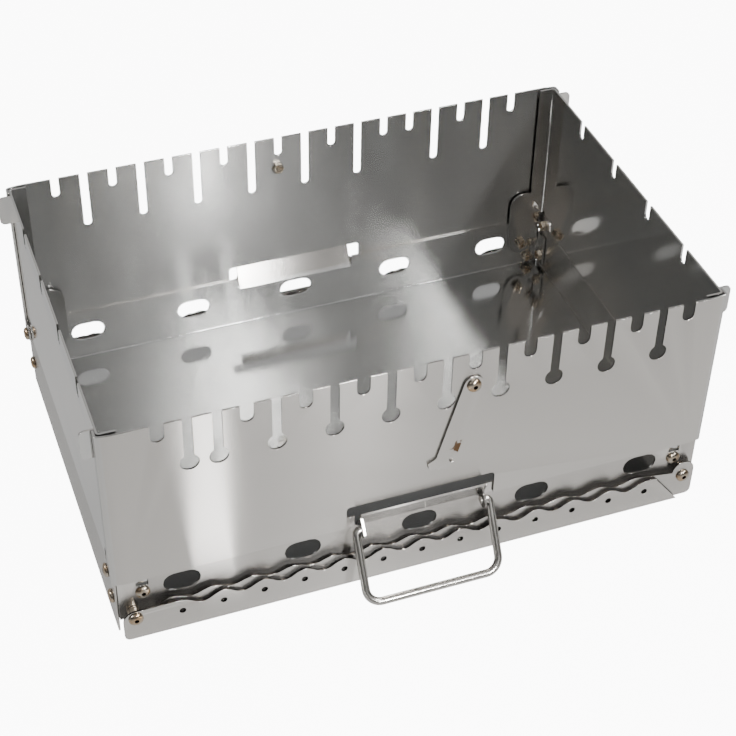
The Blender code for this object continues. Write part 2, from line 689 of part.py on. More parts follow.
def place_leg(leg, pivot_x, turn):
    """Moves the strip's origin to its pivot, then turns it to its side of the tray."""
    pivot = Vector((pivot_x, leg.matrix_world.translation.y, LEG_PIVOT_HEIGHT))
    world = leg.matrix_world.copy()
    leg.data.transform(Matrix.Translation(-pivot) @ world)
    leg.matrix_world = turn @ Matrix.Translation(pivot)
    return finish(leg, SATIN)


def make_handle(name, turn):
    """A wire bail: each end is bent in through its ear, and the bar lies near the ground."""
    drop = HANDLE_PIVOT_HEIGHT - WIRE_RADIUS - GAP
    out = math.sqrt(HANDLE_LEG ** 2 - drop ** 2)
    half = HANDLE_WIDTH / 2
    end = EAR_X - SHEET / 2 - HANDLE_END_STUB
    top = HANDLE_END_BEND
    side = [(end, 0)] + arc((half - top, top), top, -QUARTER, 0, WIRE_BEND_STEPS)
    low = arc((half - HANDLE_CORNER, HANDLE_LEG - HANDLE_CORNER), HANDLE_CORNER, 0, QUARTER, WIRE_BEND_STEPS)
    right = side + low
    points = right + [(-across, down) for across, down in reversed(right)]
    curve = bpy.data.curves.new(name, "CURVE")
    curve.dimensions = "3D"
    curve.bevel_depth = WIRE_RADIUS
    curve.bevel_resolution = 3
    curve.use_fill_caps = True
    spline = curve.splines.new("POLY")
    spline.points.add(len(points) - 1)
    for point, (across, down) in zip(spline.points, points):
        share = down / HANDLE_LEG
        point.co = (across, -out * share, -drop * share, 1)
    drawn = bpy.data.objects.new(name + "_path", curve)
    PARTS.objects.link(drawn)
    pivot = turn @ Matrix.Translation((0, -HANDLE_PIVOT_Y, HANDLE_PIVOT_HEIGHT))
    handle = link(named_object(name, mesh_from(drawn), pivot), PARTS)
    return finish(handle, WIRE, smooth=True)


def make_lever():
    """The flat latch lever: round head, hook notch at one side and a small thumb tip at the foot."""
    half = LEVER_WIDTH / 2
    foot = -LEVER_LENGTH
    jaw = foot + LEVER_NOTCH_RISE
    radius = LEVER_FOOT_RADIUS
    outline = arc((0, 0), half, 0, math.pi, 8)
    outline += [(-half, foot + 2 * LEVER_THUMB), (-half - LEVER_THUMB, foot + LEVER_THUMB),
                (-half - LEVER_THUMB / 2, foot)]
    outline += arc((half - radius, foot + radius), radius, -QUARTER, 0, 4)
    outline += arc((half - LEVER_NOTCH_RADIUS / 2, jaw), LEVER_NOTCH_RADIUS, -math.pi / 3, -math.pi * 5 / 3, 8)
    loops = [outline, circle((0, 0), HOLE_RADIUS)]
    depth = WIDTH / 2 + GAP + SHEET / 2
    place = Matrix.Translation((LEVER_X, -depth, LATCH_HEIGHT)) @ Matrix.Rotation(LEVER_TILT, 4, "Y")
    return finish(plate("latch_lever", loops, SHEET, place @ XZ_PLANE), SATIN)


def leg_fasteners(label, turn):
    """Screw, nut and spacer at each end of one long side."""
    for side, hand, layers in ((-1, "outer", 1), (1, "inner", 0)):
        space = LEG_INNER_SPACE + layers * LEG_LAYER
        strip_face = -(FLANGE_FACE + space + SHEET)
        name = "leg_" + label + "_" + hand
        place = turn @ Vector((side * LEG_X, strip_face, LEG_PIVOT_HEIGHT))
        outward = turn @ Vector((0, -1, 0))
        inside = turn @ Vector((side * LEG_X, -(FLANGE_FACE - SHEET), LEG_PIVOT_HEIGHT))
        grip = space + 2 * SHEET + NUT_HEIGHT + GAP + SHANK_TAIL
        screw(name + "_screw", place, outward, grip, TINTED)
        nut(name + "_nut", inside, -outward, TINTED)
        length = space - 2 * GAP
        loops = [circle((0, 0), HOLE_RADIUS + SPACER_WALL), circle((0, 0), HOLE_RADIUS)]
        middle = turn @ Vector((side * LEG_X, -(FLANGE_FACE + space / 2), LEG_PIVOT_HEIGHT))
        finish(plate(name + "_spacer", loops, length, facing(middle, outward)), TINTED)


def side_fasteners(label, edge):
    """Pivot screws, hinge screws and corner screws at both ends of one long side."""
    grip = 2 * SHEET + GAP + NUT_HEIGHT + GAP + SHANK_TAIL
    for side, hand in ((-1, "left"), (1, "right")):
        name = label + "_" + hand
        outward = (0, edge, 0)
        inward = (0, -edge, 0)
        place = (side * PIVOT_X, edge * FLANGE_FACE, PIVOT_HEIGHT)
        screw("pivot_screw_" + name, place, outward, grip, TINTED)
        place = (side * PIVOT_X, edge * (SIDE_FACE - SHEET), PIVOT_HEIGHT)
        nut("pivot_nut_" + name, place, inward, TINTED)
        outward = (side, 0, 0)
        inward = (-side, 0, 0)
        place = (side * LENGTH / 2, edge * HINGE_Y, HINGE_HEIGHT)
        screw("hinge_screw_" + name, place, outward, grip, TINTED)
        place = (side * (END_FACE - SHEET), edge * HINGE_Y, HINGE_HEIGHT)
        nut("hinge_nut_" + name, place, inward, TINTED)
        place = (side * END_FACE, edge * CORNER_SCREW_Y, CORNER_SCREW_HEIGHT)
        screw("corner_screw_" + name, place, outward, grip, TINTED)
        place = (side * (TAB_FACE - SHEET), edge * CORNER_SCREW_Y, CORNER_SCREW_HEIGHT)
        nut("corner_nut_" + name, place, inward, TINTED)


def latch_fasteners():
    face = WIDTH / 2
    tail = NUT_HEIGHT + GAP + SHANK_TAIL
    place = (LEVER_X, -face - GAP - SHEET, LATCH_HEIGHT)
    screw("latch_screw", place, (0, -1, 0), 2 * SHEET + GAP + tail, TINTED)
    nut("latch_nut", (LEVER_X, -face + SHEET, LATCH_HEIGHT), (0, 1, 0), TINTED)
    screw("latch_stud", (STUD_X, face, LATCH_HEIGHT), (0, 1, 0), SHEET + tail, TINTED, STUD_COLLAR)
    nut("latch_stud_nut", (STUD_X, face - SHEET, LATCH_HEIGHT), (0, -1, 0), TINTED)


def main():
    make_tray()
    make_end_plate("end_plate_left", -1)
    make_end_plate("end_plate_right", 1)
    make_long_wall("long_wall_front", Matrix(), front_notches())
    make_long_wall("long_wall_back", HALF_TURN, back_notches())
    make_end_wall("end_wall_right", Matrix())
    make_end_wall("end_wall_left", HALF_TURN)
    for label, edge, turn in (("front", -1, Matrix()), ("back", 1, HALF_TURN)):
        make_outer_leg("leg_" + label + "_outer", turn)
        make_inner_leg("leg_" + label + "_inner", turn)
        make_handle("handle_" + label, turn)
        leg_fasteners(label, turn)
        side_fasteners(label, edge)
    make_lever()
    latch_fasteners()
    bpy.context.view_layer.update()


main()
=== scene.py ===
"""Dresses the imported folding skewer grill: finished sheet metal, wire handles, screws and nuts,
then a pale floor, soft studio light and the camera."""

import json
import math

import bpy
from bpy.props import FloatProperty, FloatVectorProperty, IntProperty, PointerProperty
from mathutils import Matrix, Vector


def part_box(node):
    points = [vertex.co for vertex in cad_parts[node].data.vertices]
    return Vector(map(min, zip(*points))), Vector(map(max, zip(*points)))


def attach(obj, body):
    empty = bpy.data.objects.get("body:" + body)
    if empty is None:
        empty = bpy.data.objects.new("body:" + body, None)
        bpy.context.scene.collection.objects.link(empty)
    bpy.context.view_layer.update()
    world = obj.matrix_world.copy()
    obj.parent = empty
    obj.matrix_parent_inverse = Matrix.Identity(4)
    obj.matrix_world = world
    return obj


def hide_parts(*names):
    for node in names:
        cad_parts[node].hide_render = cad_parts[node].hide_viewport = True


bl_info = {
    "name": "Folding skewer grill",
    "version": (1, 0, 0),
    "blender": (4, 5, 0),
    "location": "View3D > Sidebar > Grill",
    "description": "Finishes a folding skewer grill's sheet metal, wire and fasteners",
    "category": "Object",
}

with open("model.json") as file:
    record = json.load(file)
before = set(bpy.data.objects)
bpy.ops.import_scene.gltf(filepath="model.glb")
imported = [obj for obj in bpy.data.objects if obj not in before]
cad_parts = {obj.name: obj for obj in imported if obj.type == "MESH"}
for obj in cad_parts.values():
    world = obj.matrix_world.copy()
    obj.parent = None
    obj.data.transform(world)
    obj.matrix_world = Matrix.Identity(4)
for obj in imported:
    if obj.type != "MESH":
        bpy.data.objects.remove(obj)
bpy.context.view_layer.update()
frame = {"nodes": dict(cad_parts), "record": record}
RECORD = frame["record"]
NODES = sorted(frame["nodes"])
BODY_OF = {node: body for body, nodes in RECORD["behaviour"]["bodies"].items() for node in nodes}
SLOT_OF = {part["node"]: part["material_slot"] for part in RECORD["subparts"]}
JOINT_PLACES = {joint["name"]: Vector(joint["pos_m"]) for joint in RECORD["behaviour"]["joints"]}

SHEET_NODES = [name for name in NODES if SLOT_OF[name] in ("satin_sheet", "bright_sheet")]
NUT_NODES = [name for name in NODES if name.endswith("_nut") or "_nut_" in name]
SPACER_NODES = [name for name in NODES if name.endswith("_spacer")]
SCREW_NODES = [name for name in NODES
               if SLOT_OF[name] == "tinted_fastener" and name not in NUT_NODES + SPACER_NODES]

# The sheet's thickness, and the outer faces of the long walls and of the tray's flanges as
# distances from the middle.
WALL_FACE = -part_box("long_wall_front")[0].y
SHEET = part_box("leg_front_outer")[1].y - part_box("leg_front_outer")[0].y
FLANGE_FACE = WALL_FACE - SHEET
# Where the leg strips turn, and how far they reach from there.
LEG_PIVOT = JOINT_PLACES["leg_front_outer_swing"]
LEG_REACH = max(abs(corner.x - LEG_PIVOT.x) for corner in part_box("leg_front_outer"))

ORIGIN = (0, 0, 0)
QUARTER = math.pi / 2
WELD = 0.00001
# Fasteners whose lengths agree to this many digits are copies of one.
LENGTH_DIGITS = 5

# Flat faces within the first angle are merged, and edges sharper than the others are rounded, or
# else shaded smooth.
MERGE_ANGLE = math.radians(1)
EDGE_ANGLE = math.radians(40)
WIRE_END_ANGLE = math.radians(60)
SMOOTH_ANGLE = math.radians(50)
FASTENER_SMOOTH_ANGLE = math.radians(35)
FLAT_FACE_WEIGHT = 100

# Points round a turned piece.
HEXAGON = 6
ROUND = 32
FINE_ROUND = 48
# Where a thread's groove ends and its crest starts and ends, as shares of the pitch.
GROOVE_END, CREST_START, CREST_END = 0.25, 0.5, 0.75
# A button head's dome.
DOME_RINGS = 6
DOME_ANGLE = math.radians(62)

# A normal with more than this share along Y belongs to a wall's or strip's flat side,
# and one with more than this share along Z faces up.
FLAT_SIDE = 0.6
FACES_UP = 0.5
NOISE_MEAN = 0.5
# How much brighter the worn edges are, and how much the patches change the roughness.
EDGE_SHINE = 1.35
PATCH_DEPTH = 0.02
# Light is drawn out across the grain, a quarter of a full turn from the surface's own direction.
GROUND_ANISOTROPY, BRIGHT_ANISOTROPY = 1.0, 0.6
QUARTER_TURN = 0.25
GROUND_BUMP, BRIGHT_BUMP, GRAIN_DEPTH = 0.12, 0.05, 0.00004
WIRE_BUMP, WIRE_GRAIN_DEPTH = 0.15, 0.00005
# How much the scuffs raise the roughness, and how fine they are.
SHEET_SCUFFS, WIRE_SCUFFS, FASTENER_SCUFFS = 0.007, 0.12, 0.15
SHEET_SCUFF_SCALE, WIRE_SCUFF_SCALE, FASTENER_SCUFF_SCALE = 60.0, 90.0, 300.0
# How far from the middle along X the cut edges are dark, and a distance past the whole grill.
DARK_REACH = 0.2
EVERYWHERE = 1.0
# How strongly the faces that the front leg strips turn to the wall get painted shade.
STRIP_SHADE = 0.85
# The centre of the painted shade spot in the lever's hook notch.
LEVER_NOTCH_SHADE = (0.0265, -0.1475, 0.106)

FLOOR_ROUGHNESS = 0.7
# How fast the sky brightens upwards and fades to the back, and the backdrop's slope and upper edge.
SKY_RISE = 1.1
SKY_FADE_BEHIND = 2.0
BACKDROP_SLOPE = 1.03
BACKDROP_SHARPNESS = 14.0
BACKDROP_EDGE = 0.5
# Each light's name, place, aim, width, height and power.
LIGHTS = (
    ("key_light", (1.5, -0.7, 1.9), (0, 0, 0.05), 0.5, 0.5, 45),
    ("front_card", (-0.110, -0.325, 0.002), (-0.110, -0.325, 1), 0.030, 0.28, 0.14),
    ("upper_light", (0.085, -0.6, 0.34), (-0.07, 0.142, 0.12), 0.05, 0.10, 2.9),
    ("left_light", (-1.5, 0.3, 1.2), (-0.2, 0, 0), 0.6, 0.6, 22),
    ("inner_light", (0.423, -1.9, 1.30), (-0.05, 0.14, 0.1), 0.12, 0.4, 30),
    ("side_light", (1.0, -1.9, 1.6), (0.1, 0.14, 0.1), 0.12, 0.25, 9),
)
# The front card faces up, with its long side turned this far from the Y axis.
CARD_SLANT = math.atan2(0.196, 0.78)

PHOTO_SIZE = 736
SENSOR_WIDTH = 36.0
CAMERA_FOCAL_PIXELS = 1738.9
CAMERA_DISTANCE = 1.32691
CAMERA_AZIMUTH = 0.3613
CAMERA_ELEVATION = 0.7139
CAMERA_ROLL = 0.0201
CAMERA_SHIFT_RIGHT = 0.01292
CAMERA_SHIFT_UP = -0.01376
CAMERA_TARGET = (0.0, 0.0045, 0.080)


class GrillSheetSettings(bpy.types.PropertyGroup):
    """The edge rounding, colours and roughnesses of the sheet metal."""

    edge_round: FloatProperty(
        name="Edge round", description="Radius worn onto each cut edge",
        default=0.00022, subtype="DISTANCE", unit="LENGTH")
    edge_segments: IntProperty(
        name="Edge segments", description="Steps in each rounded edge", default=2)
    satin_colour: FloatVectorProperty(
        name="Satin", description="Colour of the ground outer faces",
        default=(0.50, 0.48, 0.455), subtype="COLOR")
    mirror_colour: FloatVectorProperty(
        name="Mirror", description="Colour of the bright inner faces",
        default=(0.54, 0.54, 0.53), subtype="COLOR")
    # Painted shade: this dark colour goes on the cut edges that face sideways or down, partly for
    # the darker cut steel, and on the hidden faces of the front leg strips.
    cut_edge_and_shade_colour: FloatVectorProperty(
        name="Cut edge", description="Colour of the dark cut edges and of the hidden grime",
        default=(0.05, 0.045, 0.04), subtype="COLOR")
    # Painted shade: the dark brown colour of the spot in the lever's hook notch.
    notch_shade_colour: FloatVectorProperty(
        name="Heat tint", description="Colour of the heat tint on the lever",
        default=(0.13, 0.075, 0.04), subtype="COLOR")
    satin_roughness: FloatProperty(
        name="Satin roughness", description="Roughness of the ground faces", default=0.19)
    inner_roughness: FloatProperty(
        name="Inner roughness", description="Roughness of the inner faces of the walls and flanges",
        default=0.22)
    mirror_roughness: FloatProperty(
        name="Mirror roughness", description="Roughness of the bright faces", default=0.08)


class GrillWireSettings(bpy.types.PropertyGroup):
    """The sizes, colour and roughness of the wire handles."""

    radius: FloatProperty(
        name="Wire radius", description="Half of the wire's diameter",
        default=0.003, subtype="DISTANCE", unit="LENGTH")
    corner: FloatProperty(
        name="Corner bend", description="Bend radius at the two lower corners",
        default=0.011, subtype="DISTANCE", unit="LENGTH")
    end_bend: FloatProperty(
        name="End bend", description="Bend radius where the wire turns into its tab",
        default=0.0035, subtype="DISTANCE", unit="LENGTH")
    end_round: FloatProperty(
        name="End round", description="Rounding of the cut wire ends",
        default=0.0006, subtype="DISTANCE", unit="LENGTH")
    end_segments: IntProperty(
        name="End segments", description="Steps in each rounded wire end", default=3)
    ring_points: IntProperty(name="Ring points", description="Points round the wire", default=24)
    bend_steps: IntProperty(name="Bend steps", description="Steps in each bend", default=10)
    colour: FloatVectorProperty(
        name="Wire", description="Colour of the drawn wire",
        default=(0.50, 0.48, 0.45), subtype="COLOR")
    roughness: FloatProperty(
        name="Wire roughness", description="Roughness of the drawn wire between its scuffs",
        default=0.22)


class GrillFastenerSettings(bpy.types.PropertyGroup):
    """The sizes, colours and roughness of the screws, nuts and spacers."""

    shank_radius: FloatProperty(
        name="Shank radius", description="Outer radius of the thread",
        default=0.0025, subtype="DISTANCE", unit="LENGTH")
    thread_pitch: FloatProperty(
        name="Thread pitch", description="Distance between thread ridges",
        default=0.0008, subtype="DISTANCE", unit="LENGTH")
    thread_depth: FloatProperty(
        name="Thread depth", description="Depth of the thread's grooves",
        default=0.0003, subtype="DISTANCE", unit="LENGTH")
    thread_ridges: IntProperty(
        name="Thread ridges", description="Ridges from the tip of each screw", default=7)
    head_radius: FloatProperty(
        name="Head radius", description="Radius of the button heads",
        default=0.0052, subtype="DISTANCE", unit="LENGTH")
    head_height: FloatProperty(
        name="Head height", description="Height of the button heads",
        default=0.0027, subtype="DISTANCE", unit="LENGTH")
    socket_radius: FloatProperty(
        name="Socket radius", description="Corner radius of the hexagon sockets",
        default=0.0018, subtype="DISTANCE", unit="LENGTH")
    socket_depth: FloatProperty(
        name="Socket depth", description="Depth of the hexagon sockets",
        default=0.0015, subtype="DISTANCE", unit="LENGTH")
    collar_radius: FloatProperty(
        name="Collar radius", description="Radius of the latch stud's collar",
        default=0.0041, subtype="DISTANCE", unit="LENGTH")
    collar_height: FloatProperty(
        name="Collar height", description="Height of the latch stud's collar",
        default=0.0024, subtype="DISTANCE", unit="LENGTH")
    spacer_bore: FloatProperty(
        name="Spacer bore", description="Inner radius of the spacers",
        default=0.0028, subtype="DISTANCE", unit="LENGTH")
    chamfer: FloatProperty(
        name="Chamfer", description="Chamfer on the rims of heads, nuts and spacers",
        default=0.00025, subtype="DISTANCE", unit="LENGTH")
    steel_colour: FloatVectorProperty(
        name="Steel", description="Colour of the clean fasteners",
        default=(0.40, 0.36, 0.30), subtype="COLOR")
    tint_colour: FloatVectorProperty(
        name="Tint", description="Colour of the heat tint",
        default=(0.36, 0.22, 0.10), subtype="COLOR")
    worn_colour: FloatVectorProperty(
        name="Worn edge", description="Colour of the edges worn bright",
        default=(0.78, 0.70, 0.58), subtype="COLOR")
    # Painted shade: this dark colour goes into the sockets and other hollows of the fasteners.
    hollow_shade_colour: FloatVectorProperty(
        name="Hollow shade", description="Colour of the grime in the sockets",
        default=(0.02, 0.014, 0.01), subtype="COLOR")
    roughness: FloatProperty(
        name="Fastener roughness", description="Roughness of the fasteners between their scuffs",
        default=0.22)


class GrillStageSettings(bpy.types.PropertyGroup):
    """The floor and the sky."""

    floor_size: FloatProperty(
        name="Floor size", description="Side of the square floor",
        default=40.0, subtype="DISTANCE", unit="LENGTH")
    floor_gap: FloatProperty(
        name="Floor gap", description="Room between the floor and the swung-down leg strips",
        default=0.01, subtype="DISTANCE", unit="LENGTH")
    floor_colour: FloatVectorProperty(
        name="Floor", description="Colour of the floor",
        default=(0.55, 0.55, 0.545), subtype="COLOR")
    floor_glow: FloatProperty(
        name="Floor glow", description="Brightness that the camera sees on the floor and behind it",
        default=10.0)
    sky_colour: FloatVectorProperty(
        name="Sky", description="Colour of the surroundings",
        default=(0.95, 0.95, 0.95), subtype="COLOR")
    horizon_colour: FloatVectorProperty(
        name="Horizon", description="Colour of the surroundings near the ground",
        default=(0.02, 0.02, 0.02), subtype="COLOR")
    sky_strength: FloatProperty(
        name="Sky strength", description="Brightness of the surroundings", default=0.62)


class GrillSettings(bpy.types.PropertyGroup):
    """All the settings of the grill."""

    sheet: PointerProperty(type=GrillSheetSettings)
    wire: PointerProperty(type=GrillWireSettings)
    fastener: PointerProperty(type=GrillFastenerSettings)
    stage: PointerProperty(type=GrillStageSettings)


def settings():
    return bpy.context.scene.grill


def deselect_all():
    if bpy.context.mode != "OBJECT":
        bpy.ops.object.mode_set(mode="OBJECT")
    bpy.ops.object.select_all(action="DESELECT")


def take_up(thing):
    """Makes a thing the only selected and active one."""
    deselect_all()
    thing.select_set(True)
    bpy.context.view_layer.objects.active = thing
    return thing


def name_piece(name):
    """Names the active object and its mesh."""
    piece = bpy.context.active_object
    piece.name = piece.data.name = name
    return piece


def apply_place():
    """Puts the selected object's place, turn and size into its mesh."""
    bpy.ops.object.transform_apply(location=True, rotation=True, scale=True)


def discard(thing):
    take_up(thing)
    bpy.ops.object.delete()


def copy_of(node, name):
    """A welded copy of a CAD node, with flat faces merged, ready to be finished."""
    take_up(frame["nodes"][node])
    bpy.ops.object.duplicate()
    piece = name_piece(name)
    piece.parent = None
    for key in list(piece.keys()):
        if key.startswith("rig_"):
            del piece[key]
    piece.matrix_world = Matrix.Identity(4)
    bpy.ops.object.mode_set(mode="EDIT")
    bpy.ops.mesh.select_all(action="SELECT")
    bpy.ops.mesh.remove_doubles(threshold=WELD)
    bpy.ops.mesh.dissolve_limited(angle_limit=MERGE_ANGLE)
    bpy.ops.object.mode_set(mode="OBJECT")
    return piece


def round_edges(piece, width, angle, segments):
    """Rounds every edge sharper than the angle and shades the faces by angle."""
    take_up(piece)
    bevel = piece.modifiers.new("edge round", "BEVEL")
    bevel.width = width
    bevel.segments = segments
    bevel.limit_method = "ANGLE"
    bevel.angle_limit = angle
    bevel.use_clamp_overlap = True
    bpy.ops.object.modifier_apply(modifier=bevel.name)
    bpy.ops.object.shade_smooth_by_angle(angle=SMOOTH_ANGLE)
    weighted = piece.modifiers.new("flat faces stay flat", "WEIGHTED_NORMAL")
    weighted.weight = FLAT_FACE_WEIGHT
    weighted.keep_sharp = True
    bpy.ops.object.modifier_apply(modifier=weighted.name)


def hand_over(piece, node, material):
    """Gives a piece its material and its body, and lets it stand for a CAD node."""
    piece.data.materials.clear()
    piece.data.materials.append(material)
    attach(piece, BODY_OF[node])
    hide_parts(node)


def feed(tree, socket, value):
    """Links another socket to a socket, or sets it to a number, vector or colour."""
    if isinstance(value, bpy.types.NodeSocket):
        tree.links.new(value, socket)
    else:
        socket.default_value = value


def new_group(name, inputs, outputs):
    """A node group with numbers and vectors as named inputs, each with its default, and numbers as
    named outputs: the group, the sockets that it reads and the sockets that it puts out."""
    group = bpy.data.node_groups.new(name, "ShaderNodeTree")
    for label, default in inputs.items():
        kind = "NodeSocketFloat" if isinstance(default, float) else "NodeSocketVector"
        socket = group.interface.new_socket(name=label, in_out="INPUT", socket_type=kind)
        socket.default_value = default
    for label in outputs:
        group.interface.new_socket(name=label, in_out="OUTPUT", socket_type="NodeSocketFloat")
    start, end = group.nodes.new("NodeGroupInput"), group.nodes.new("NodeGroupOutput")
    return group, start.outputs, end.inputs


def math_node(tree, operation, first, second=None, third=None, clamp=False):
    """A Math node; each value is a number or a socket to link."""
    node = tree.nodes.new("ShaderNodeMath")
    node.operation = operation
    node.use_clamp = clamp
    for socket, value in zip(node.inputs, (first, second, third)):
        if value is not None:
            feed(tree, socket, value)
    return node.outputs[0]


def ramp(tree, value, low, gain):
    """0 up to the low value, then rising with the gain, up to 1."""
    return math_node(tree, "MULTIPLY", math_node(tree, "SUBTRACT", value, low), gain, clamp=True)


def split(tree, vector):
    """The X, Y and Z of a vector, by name."""
    parts = tree.nodes.new("ShaderNodeSeparateXYZ")
    tree.links.new(vector, parts.inputs[0])
    return parts.outputs


def vector_node(tree, operation, first, second):
    """A Vector Math node of two vectors, as its outputs by name."""
    node = tree.nodes.new("ShaderNodeVectorMath")
    node.operation = operation
    tree.links.new(first, node.inputs[0])
    tree.links.new(second, node.inputs[1])
    return node.outputs


def noise_node(tree, vector, scale, detail=3.0, roughness=0.5):
    node = tree.nodes.new("ShaderNodeTexNoise")
    feed(tree, node.inputs["Scale"], scale)
    node.inputs["Detail"].default_value = detail
    node.inputs["Roughness"].default_value = roughness
    tree.links.new(vector, node.inputs["Vector"])
    return node.outputs["Fac"]


def rolled_grain_group():
    """Fine rolling grain, long along X and Y and short along Z, as a height, and a patchy shine."""
    group, start, end = new_group(
        "rolled_grain", {"Vector": ORIGIN, "Along": 40.0, "Across": 2400.0}, ("Height", "Patch"))
    scale = group.nodes.new("ShaderNodeCombineXYZ")
    for axis, label in zip("XYZ", ("Along", "Along", "Across")):
        group.links.new(start[label], scale.inputs[axis])
    stretched = vector_node(group, "MULTIPLY", start["Vector"], scale.outputs[0])["Vector"]
    patch = noise_node(group, start["Vector"], scale=22.0, detail=4.0, roughness=0.55)
    group.links.new(noise_node(group, stretched, scale=1.0, detail=2.0), end["Height"])
    group.links.new(patch, end["Patch"])
    return group


def handling_marks_group():
    """Small scuffs and smudges that raise the roughness here and there."""
    group, start, end = new_group(
        "handling_marks", {"Vector": ORIGIN, "Scale": SHEET_SCUFF_SCALE, "Amount": 0.1}, ("Marks",))
    noise = noise_node(group, start["Vector"], start["Scale"], detail=6.0)
    strong = ramp(group, noise, low=0.52, gain=5.0)
    group.links.new(math_node(group, "MULTIPLY", strong, start["Amount"]), end["Marks"])
    return group


def edge_wear_and_hollow_shade_group():
    """Masks of the worn, brighter edges and of the hollows that get painted shade, from the
    surface's pointiness.
    """
    group, start, end = new_group(
        "edge_wear_and_hollow_shade", {"Low": 0.53, "High": 0.49, "Gain": 12.0}, ("Mask", "Hollow shade"))
    pointiness = group.nodes.new("ShaderNodeNewGeometry").outputs["Pointiness"]
    group.links.new(ramp(group, pointiness, start["Low"], start["Gain"]), end["Mask"])
    group.links.new(ramp(group, start["High"], pointiness, start["Gain"]), end["Hollow shade"])
    return group


def cut_edge_shade_group():
    """A mask of painted shade on the cut edges of walls and strips, within Reach of the middle
    along X.
    The cut edges stand for darker cut steel, and the shade is painted on those that face sideways
    or down at any height, and on those that face up only below Rim. Strip shade adds, by its
    amount, painted shade on the faces that the front leg strips turn to the wall."""
    inputs = {"Vector": ORIGIN, "Normal": ORIGIN, "Reach": DARK_REACH, "Rim": 0.0, "Grime": 0.0}
    group, start, end = new_group("cut_edge_shade", inputs, ("Mask",))
    place, facing = split(group, start["Vector"]), split(group, start["Normal"])
    edge = math_node(group, "LESS_THAN", math_node(group, "ABSOLUTE", facing["Y"]), FLAT_SIDE)
    not_up = math_node(group, "LESS_THAN", facing["Z"], FACES_UP)
    below_rim = math_node(group, "LESS_THAN", place["Z"], start["Rim"])
    dark_edge = math_node(group, "MULTIPLY", edge, math_node(group, "MAXIMUM", not_up, below_rim))
    in_front = math_node(group, "LESS_THAN", place["Y"], 0.0)
    to_the_back = math_node(group, "GREATER_THAN", facing["Y"], FLAT_SIDE)
    hidden = math_node(group, "MULTIPLY", in_front, to_the_back)
    shade_painted = math_node(group, "MULTIPLY", hidden, start["Grime"])
    inside = math_node(group, "LESS_THAN", math_node(group, "ABSOLUTE", place["X"]), start["Reach"])
    dark = math_node(group, "MAXIMUM", dark_edge, shade_painted)
    group.links.new(math_node(group, "MULTIPLY", dark, inside), end["Mask"])
    return group


def notch_shade_group():
    """A mask of a ragged spot of painted shade round Centre, which on average reaches Radius."""
    inputs = {"Vector": ORIGIN, "Centre": ORIGIN, "Radius": 0.006, "Sharpness": 900.0}
    group, start, end = new_group("notch_shade", inputs, ("Mask",))
    apart = vector_node(group, "DISTANCE", start["Vector"], start["Centre"])["Value"]
    noise = noise_node(group, start["Vector"], scale=450.0)
    ragged = math_node(group, "MULTIPLY", noise, start["Radius"])
    edge = math_node(group, "MULTIPLY", ragged, 1 / NOISE_MEAN)
    group.links.new(ramp(group, edge, apart, start["Sharpness"]), end["Mask"])
    return group


GROUP_MAKERS = {
    "rolled_grain": rolled_grain_group,
    "handling_marks": handling_marks_group,
    "edge_wear_and_hollow_shade": edge_wear_and_hollow_shade_group,
    "cut_edge_shade": cut_edge_shade_group,
    "notch_shade": notch_shade_group,
}


def group_node(tree, name, **values):
    """Places a node group, made at its first use, with its own values, and gives its outputs."""
    node = tree.nodes.new("ShaderNodeGroup")
    node.node_tree = bpy.data.node_groups.get(name) or GROUP_MAKERS[name]()
    for label, value in values.items():
        feed(tree, node.inputs[label], value)
    return node.outputs


def mix_colour(tree, factor, first, second):
    """A blend of two colours, each a tuple or a socket."""
    node = tree.nodes.new("ShaderNodeMix")
    node.data_type = "RGBA"
    tree.links.new(factor, node.inputs["Factor"])
    colour_inputs = [socket for socket in node.inputs if socket.type == "RGBA"]
    for socket, value in zip(colour_inputs, (first, second)):
        feed(tree, socket, (*value, 1) if isinstance(value, tuple) else value)
    return [socket for socket in node.outputs if socket.type == "RGBA"][0]


def new_metal(name):
    """A metal material, as (material, tree, shader, Object coordinates, object normal)."""
    material = bpy.data.materials.new(name)
    material.use_nodes = True
    tree = material.node_tree
    shader = tree.nodes["Principled BSDF"]
    shader.inputs["Metallic"].default_value = 1.0
    coordinates = tree.nodes.new("ShaderNodeTexCoord")
    return material, tree, shader, coordinates.outputs["Object"], coordinates.outputs["Normal"]


def add_scuffs(tree, shader, vector, roughness, amount, scale):
    """Adds handling marks to a roughness, which is a number or a socket."""
    marks = group_node(tree, "handling_marks", Vector=vector, Scale=scale, Amount=amount)
    scuffed = math_node(tree, "ADD", roughness, marks["Marks"], clamp=True)
    tree.links.new(scuffed, shader.inputs["Roughness"])


def add_bump(tree, shader, height, strength, distance):
    bump = tree.nodes.new("ShaderNodeBump")
    bump.inputs["Strength"].default_value = strength
    bump.inputs["Distance"].default_value = distance
    tree.links.new(height, bump.inputs["Height"])
    tree.links.new(bump.outputs["Normal"], shader.inputs["Normal"])


def outer_mask(tree, vector, face):
    """1 on the outer side of the sheets whose outer face is that far from the middle, else 0."""
    depth = math_node(tree, "ABSOLUTE", split(tree, vector)["Y"])
    return math_node(tree, "GREATER_THAN", depth, face - SHEET / 2)


